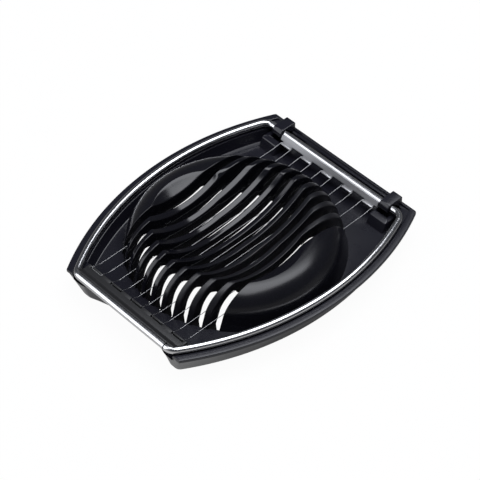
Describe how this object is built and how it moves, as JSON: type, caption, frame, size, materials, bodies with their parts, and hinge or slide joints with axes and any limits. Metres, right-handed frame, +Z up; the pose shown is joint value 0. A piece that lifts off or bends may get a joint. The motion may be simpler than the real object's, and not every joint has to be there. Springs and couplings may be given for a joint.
{
  "type": "egg slicer",
  "caption": "Black moulded egg slicer: bowed tray with a slotted two-lobe egg cup, and a hinged steel rod frame strung with fine wires between a plastic rail and a folded steel strip.",
  "frame": {"origin": "centre of the overall box, on the table under the egg cup", "axes": "+X across the wires, +Y from the finger recess to the hinge, +Z up"},
  "size_m": [0.09, 0.1054, 0.0188],
  "materials": {
    "black_moulding": "satin",
    "black_rail": "satin",
    "polished_rod": "polished",
    "sheet_steel": "brushed",
    "wire": "drawn"
  },
  "bodies": {
    "base": {"base": "black_moulding"},
    "wire_frame": {"frame_rod": "polished_rod", "front_wire_rail": "black_rail", "rear_wire_strip": "sheet_steel", "wire_loop_1": "wire", "wire_loop_2": "wire", "wire_loop_3": "wire", "wire_loop_4": "wire", "wire_loop_5": "wire"}
  },
  "joints": [
    {"name": "frame_hinge", "type": "hinge", "parent": "base", "child": "wire_frame", "pos_m": [0, 0.0469, 0.0112], "axis": [-1, 0, 0], "range_deg": [0, 110]}
  ]
}
